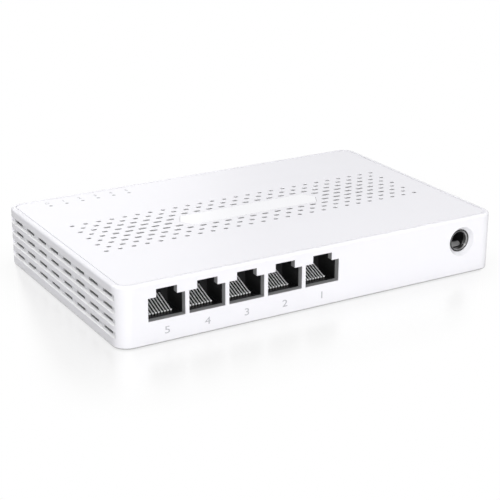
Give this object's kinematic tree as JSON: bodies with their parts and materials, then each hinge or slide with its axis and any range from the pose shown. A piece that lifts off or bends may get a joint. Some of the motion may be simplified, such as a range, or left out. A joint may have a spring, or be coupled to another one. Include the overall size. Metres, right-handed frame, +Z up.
{
  "type": "desktop network switch",
  "caption": "Low white plastic network switch with a row of RJ45 sockets and a barrel power inlet on one long face, vents on the top and both ends.",
  "frame": {"origin": "middle of the case, on the plane that the feet stand on", "axes": "+Z up, +X along the face with the sockets towards the power inlet, sockets face -Y"},
  "size_m": [0.14, 0.0886, 0.0199],
  "materials": {
    "white_plastic": "fine moulded grain, satin white",
    "white_plastic_base": "fine moulded grain, satin white",
    "badge_plastic": "smooth polished white",
    "foot_rubber": "soft matt rubber",
    "screw_steel": "zinc plated",
    "clear_guide": "clear moulded acrylic",
    "circuit_board": "green solder mask",
    "socket_plastic": "satin black moulded",
    "carrier_plastic": "satin black moulded",
    "contact_metal": "bright plated wire",
    "terminal_metal": "plated brass strip",
    "inlet_plastic": "satin black moulded",
    "nickel_plate": "bright nickel plate",
    "spring_metal": "plated spring strip",
    "chip_plastic": "moulded epoxy",
    "thermal_silicone": "soft silicone pad",
    "sink_aluminium": "extruded, plain",
    "resistor_body": "ceramic chip",
    "can_metal": "drawn can",
    "lamp_body": "moulded lamp",
    "capacitor_sleeve": "printed sleeve",
    "ferrite": "pressed ferrite"
  },
  "bodies": {
    "case": {"top_cover": "white_plastic", "bottom_cover": "white_plastic_base", "badge_plate": "badge_plastic", "rubber_feet": "foot_rubber", "case_screws": "screw_steel", "light_guide": "clear_guide", "main_board": "circuit_board", "board_screws": "screw_steel", "port_block": "socket_plastic", "port_1_carrier": "carrier_plastic", "port_2_carrier": "carrier_plastic", "port_3_carrier": "carrier_plastic", "port_4_carrier": "carrier_plastic", "port_5_carrier": "carrier_plastic", "port_1_terminals": "terminal_metal", "port_2_terminals": "terminal_metal", "port_3_terminals": "terminal_metal", "port_4_terminals": "terminal_metal", "port_5_terminals": "terminal_metal", "dc_jack_body": "inlet_plastic", "dc_jack_ring": "nickel_plate", "dc_jack_pin": "nickel_plate", "dc_jack_terminals": "terminal_metal", "switch_chip": "chip_plastic", "thermal_pad": "thermal_silicone", "heat_sink": "sink_aluminium", "transformer_1": "chip_plastic", "transformer_2": "chip_plastic", "transformer_3": "chip_plastic", "transformer_4": "chip_plastic", "transformer_5": "chip_plastic", "termination_resistors": "resistor_body", "crystal": "can_metal", "status_leds": "lamp_body", "config_memory": "chip_plastic", "power_capacitors": "capacitor_sleeve", "power_inductor": "ferrite", "voltage_regulator": "chip_plastic", "input_diode": "chip_plastic"},
    "port_1_contact_set": {"port_1_contacts": "contact_metal"},
    "port_2_contact_set": {"port_2_contacts": "contact_metal"},
    "port_3_contact_set": {"port_3_contacts": "contact_metal"},
    "port_4_contact_set": {"port_4_contacts": "contact_metal"},
    "port_5_contact_set": {"port_5_contacts": "contact_metal"},
    "dc_jack_leaf": {"dc_jack_spring": "spring_metal"}
  },
  "joints": [
    {"name": "port_1_contacts_flex", "type": "hinge", "parent": "case", "child": "port_1_contact_set", "pos_m": [0.0009, -0.0397, 0.008], "axis": [-1, 0, 0], "range_deg": [0, 11], "stiffness_Nm_per_rad": 0.1},
    {"name": "port_2_contacts_flex", "type": "hinge", "parent": "case", "child": "port_2_contact_set", "pos_m": [-0.01285, -0.0397, 0.008], "axis": [-1, 0, 0], "range_deg": [0, 11], "stiffness_Nm_per_rad": 0.1},
    {"name": "port_3_contacts_flex", "type": "hinge", "parent": "case", "child": "port_3_contact_set", "pos_m": [-0.0266, -0.0397, 0.008], "axis": [-1, 0, 0], "range_deg": [0, 11], "stiffness_Nm_per_rad": 0.1},
    {"name": "port_4_contacts_flex", "type": "hinge", "parent": "case", "child": "port_4_contact_set", "pos_m": [-0.04035, -0.0397, 0.008], "axis": [-1, 0, 0], "range_deg": [0, 11], "stiffness_Nm_per_rad": 0.1},
    {"name": "port_5_contacts_flex", "type": "hinge", "parent": "case", "child": "port_5_contact_set", "pos_m": [-0.0541, -0.0397, 0.008], "axis": [-1, 0, 0], "range_deg": [0, 11], "stiffness_Nm_per_rad": 0.1},
    {"name": "dc_jack_spring_flex", "type": "hinge", "parent": "case", "child": "dc_jack_leaf", "pos_m": [0.0565, -0.03, 0.0079], "axis": [1, 0, 0], "range_deg": [0, 7], "stiffness_Nm_per_rad": 0.15}
  ]
}
